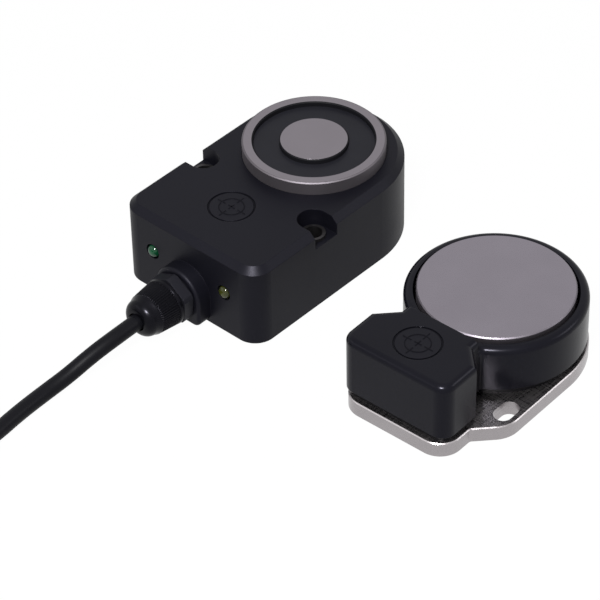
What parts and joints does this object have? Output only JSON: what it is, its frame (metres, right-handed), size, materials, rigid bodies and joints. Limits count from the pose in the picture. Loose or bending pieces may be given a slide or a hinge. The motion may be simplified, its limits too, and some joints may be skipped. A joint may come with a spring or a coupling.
{
  "type": "magnetic door lock",
  "caption": "Electromagnetic door lock: a holding magnet with indicator lamps and a cable, and its actuator with a floating armature disc on a mounting plate.",
  "frame": {"origin": "under the magnet's axis, on the face that the lock unit is mounted on", "axes": "+Z out of the magnet's pole faces; the cable leaves along -Y; the actuator lies on +X"},
  "size_m": [0.2175, 0.2753, 0.038],
  "materials": {
    "black_housing": "moulded, fine satin grain",
    "black_gland": "moulded, semi-gloss",
    "cable_sheath": "extruded, matt",
    "seal_rubber": "moulded, matt",
    "pole_steel": "turned, ground pole faces",
    "nickel_steel": "nickel plated",
    "screw_steel": "zinc plated",
    "spring_steel": "hardened, bright",
    "potting": "cast resin",
    "bobbin_plastic": "glass-filled nylon",
    "copper_wire": "enamelled copper",
    "board_green": "glass-fibre epoxy",
    "chip_black": "moulded epoxy",
    "terminal_green": "moulded nylon",
    "ferrite": "sintered, matt",
    "wire_sheath": "extruded",
    "green_lens": "tinted epoxy",
    "yellow_lens": "tinted epoxy",
    "tag_glass": "cast epoxy disc",
    "tie_plastic": "moulded nylon"
  },
  "bodies": {
    "lock_unit": {"lock_housing": "black_housing", "rear_cover": "black_housing", "cover_gasket": "seal_rubber", "cover_screws": "screw_steel", "mounting_sleeves": "nickel_steel", "magnet_yoke": "pole_steel", "coil_bobbin": "bobbin_plastic", "coil_winding": "copper_wire", "coil_leads": "wire_sheath", "magnet_potting": "potting", "magnet_screw": "screw_steel", "control_board": "board_green", "board_screws": "screw_steel", "board_parts": "chip_black", "terminal_block": "terminal_green", "core_wires": "wire_sheath", "reader_core": "ferrite", "reader_coil": "copper_wire", "led_green": "green_lens", "led_yellow": "yellow_lens", "led_leads": "screw_steel", "gland_washer": "seal_rubber", "gland_body": "black_gland", "gland_seal": "seal_rubber", "cable_tail": "cable_sheath", "cable": "cable_sheath", "cable_coil": "cable_sheath", "coil_ties": "tie_plastic", "cable_end": "cable_sheath", "cable_cores": "wire_sheath"},
    "gland_clamp": {"gland_claw": "black_gland"},
    "gland_nut": {"gland_nut": "black_gland"},
    "actuator": {"actuator_plate": "nickel_steel", "base_pad": "seal_rubber", "actuator_housing": "black_housing", "transponder": "tag_glass", "transponder_potting": "potting", "housing_screws": "screw_steel", "cup_springs": "spring_steel"},
    "armature_float": {"pressure_ring": "spring_steel"},
    "armature_rocker": {"rocker_washer": "spring_steel"},
    "armature": {"armature_disc": "nickel_steel", "armature_bolt": "screw_steel"}
  },
  "joints": [
    {"name": "gland_clamp_slide", "type": "slide", "parent": "lock_unit", "child": "gland_clamp", "axis": [0, -1, 0], "range_m": [0, 0.0015]},
    {"name": "gland_nut_turn", "type": "hinge", "parent": "gland_clamp", "child": "gland_nut", "pos_m": [0, -0.08, 0.0112], "axis": [0, -1, 0], "range_deg": [0, 360]},
    {"name": "actuator_lift", "type": "slide", "parent": "lock_unit", "child": "actuator", "axis": [0, 0, 1], "range_m": [0, 0.1]},
    {"name": "armature_float", "type": "slide", "parent": "actuator", "child": "armature_float", "axis": [0, 0, 1], "range_m": [-0.0008, 0], "stiffness_N_per_m": 8000, "springref_m": 0.0005, "deforming": ["cup_springs"]},
    {"name": "armature_rock", "type": "hinge", "parent": "armature_float", "child": "armature_rocker", "pos_m": [0.0939, -0.0107, 0.0218], "axis": [0.9993, 0.0366, 0], "range_deg": [-1.5, 1.5], "stiffness_Nm_per_rad": 2},
    {"name": "armature_roll", "type": "hinge", "parent": "armature_rocker", "child": "armature", "pos_m": [0.0939, -0.0107, 0.0218], "axis": [-0.0366, 0.9993, 0], "range_deg": [-1.5, 1.5], "stiffness_Nm_per_rad": 2}
  ],
  "couplings": [
    {"joint": "gland_nut_turn", "follows": "gland_clamp_slide", "rad_per_m": 4188.8}
  ]
}
